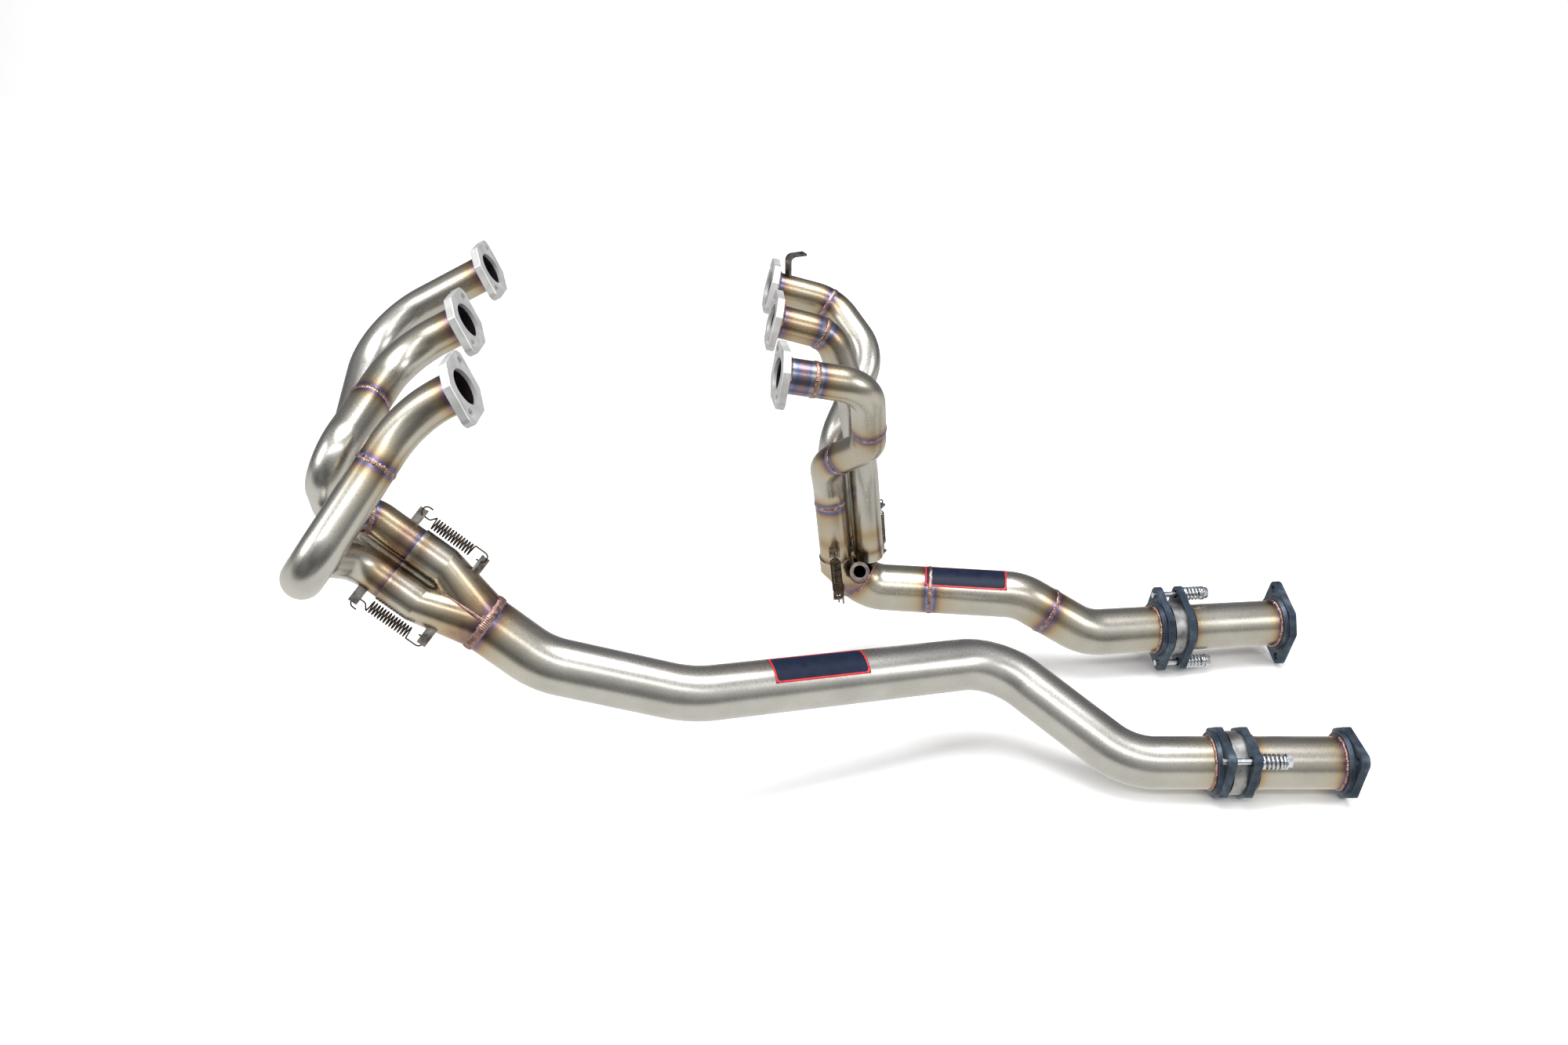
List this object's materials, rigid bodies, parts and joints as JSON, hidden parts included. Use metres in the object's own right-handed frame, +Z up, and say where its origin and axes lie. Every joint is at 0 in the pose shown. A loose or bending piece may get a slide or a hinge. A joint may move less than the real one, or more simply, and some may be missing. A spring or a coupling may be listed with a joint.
{
  "type": "racing exhaust header set",
  "caption": "Stainless exhaust header set: two banks of bent primaries in sprung slip collectors, long downpipes, sprung ball joints and flanged tails.",
  "frame": {"origin": "centre of the front bank's outlet flange face", "axes": "+X along the front tail pipe, out of the outlet; +Y from the front bank towards the rear bank; +Z up, from the ground to the port flanges"},
  "size_m": [1.2083, 0.6516, 0.6144],
  "materials": {
    "satin_stainless": "satin, straw and blue heat tint at welds",
    "bright_steel": "machined",
    "blued_steel": "heat blued, satin",
    "zinc_steel": "zinc plated",
    "bronzed_spring": "dark heat-tinted wire",
    "label": "dark, red edge, no lettering"
  },
  "bodies": {
    "headers": {"front_collector": "satin_stainless", "front_collector_tabs": "satin_stainless", "front_downpipe": "satin_stainless", "front_label": "label", "front_ball_end": "satin_stainless", "front_joint_flange": "blued_steel", "front_joint_bolts": "zinc_steel", "front_joint_springs": "zinc_steel", "rear_collector": "satin_stainless", "rear_collector_tabs": "satin_stainless", "rear_sensor_boss": "satin_stainless", "rear_downpipe": "satin_stainless", "rear_label": "label", "rear_ball_end": "satin_stainless", "rear_joint_flange": "blued_steel", "rear_joint_bolts": "zinc_steel", "rear_joint_springs": "zinc_steel"},
    "front_runner_1": {"front_port_flange_1": "bright_steel", "front_primary_1": "satin_stainless", "front_primary_tab_1": "satin_stainless", "front_slip_spring_1": "bronzed_spring"},
    "front_runner_2": {"front_port_flange_2": "bright_steel", "front_primary_2": "satin_stainless", "front_primary_tab_2": "satin_stainless", "front_slip_spring_2": "bronzed_spring"},
    "front_runner_3": {"front_port_flange_3": "bright_steel", "front_primary_3": "satin_stainless", "front_primary_tab_3": "satin_stainless", "front_slip_spring_3": "bronzed_spring"},
    "front_seal": {"front_seal_ring": "bright_steel"},
    "front_tail": {"front_floating_flange": "blued_steel", "front_tail_tube": "satin_stainless", "front_tail_flange": "blued_steel"},
    "rear_runner_1": {"rear_port_flange_1": "bright_steel", "rear_primary_1": "satin_stainless", "rear_primary_tab_1": "satin_stainless", "rear_slip_spring_1": "bronzed_spring"},
    "rear_runner_2": {"rear_port_flange_2": "bright_steel", "rear_primary_2": "satin_stainless", "rear_primary_tab_2": "satin_stainless", "rear_slip_spring_2": "bronzed_spring"},
    "rear_runner_3": {"rear_port_flange_3": "bright_steel", "rear_primary_3": "satin_stainless", "rear_primary_tab_3": "satin_stainless", "rear_slip_spring_3": "bronzed_spring", "rear_bracket": "satin_stainless"},
    "rear_seal": {"rear_seal_ring": "bright_steel"},
    "rear_tail": {"rear_floating_flange": "blued_steel", "rear_tail_tube": "satin_stainless", "rear_tail_flange": "blued_steel"}
  },
  "joints": [
    {"name": "front_slip_1", "type": "slide", "parent": "headers", "child": "front_runner_1", "axis": [-0.775, 0.1, 0.624], "range_m": [-0.003, 0.009], "stiffness_N_per_m": 4000, "deforming": ["front_slip_spring_1"]},
    {"name": "front_slip_2", "type": "slide", "parent": "headers", "child": "front_runner_2", "axis": [-0.775, 0.1, 0.624], "range_m": [-0.003, 0.009], "stiffness_N_per_m": 4000, "deforming": ["front_slip_spring_2"]},
    {"name": "front_slip_3", "type": "slide", "parent": "headers", "child": "front_runner_3", "axis": [-0.775, 0.1, 0.624], "range_m": [-0.003, 0.009], "stiffness_N_per_m": 4000, "deforming": ["front_slip_spring_3"]},
    {"name": "rear_slip_1", "type": "slide", "parent": "headers", "child": "rear_runner_1", "axis": [-0.1004, -0.1505, 0.9835], "range_m": [-0.003, 0.009], "stiffness_N_per_m": 4000, "deforming": ["rear_slip_spring_1"]},
    {"name": "rear_slip_2", "type": "slide", "parent": "headers", "child": "rear_runner_2", "axis": [-0.1004, -0.1505, 0.9835], "range_m": [-0.003, 0.009], "stiffness_N_per_m": 4000, "deforming": ["rear_slip_spring_2"]},
    {"name": "rear_slip_3", "type": "slide", "parent": "headers", "child": "rear_runner_3", "axis": [-0.1004, -0.1505, 0.9835], "range_m": [-0.003, 0.009], "stiffness_N_per_m": 4000, "deforming": ["rear_slip_spring_3"]},
    {"name": "front_joint_rock", "type": "hinge", "parent": "headers", "child": "front_seal", "pos_m": [-0.138, 0, 0], "axis": [0, -0.6428, -0.766], "range_deg": [-4, 4], "stiffness_Nm_per_rad": 90, "deforming": ["front_joint_springs"]},
    {"name": "front_joint_swing", "type": "hinge", "parent": "front_seal", "child": "front_tail", "pos_m": [-0.138, 0, 0], "axis": [0, -0.766, 0.6428], "range_deg": [-4, 4], "stiffness_Nm_per_rad": 60, "deforming": ["front_joint_springs"]},
    {"name": "rear_joint_rock", "type": "hinge", "parent": "headers", "child": "rear_seal", "pos_m": [-0.1405, 0.27, 0.019], "axis": [0.1371, -0.8757, 0.4631], "range_deg": [-4, 4], "stiffness_Nm_per_rad": 90, "deforming": ["rear_joint_springs"]},
    {"name": "rear_joint_swing", "type": "hinge", "parent": "rear_seal", "child": "rear_tail", "pos_m": [-0.1405, 0.27, 0.019], "axis": [-0.0381, 0.4625, 0.8858], "range_deg": [-4, 4], "stiffness_Nm_per_rad": 60, "deforming": ["rear_joint_springs"]}
  ]
}
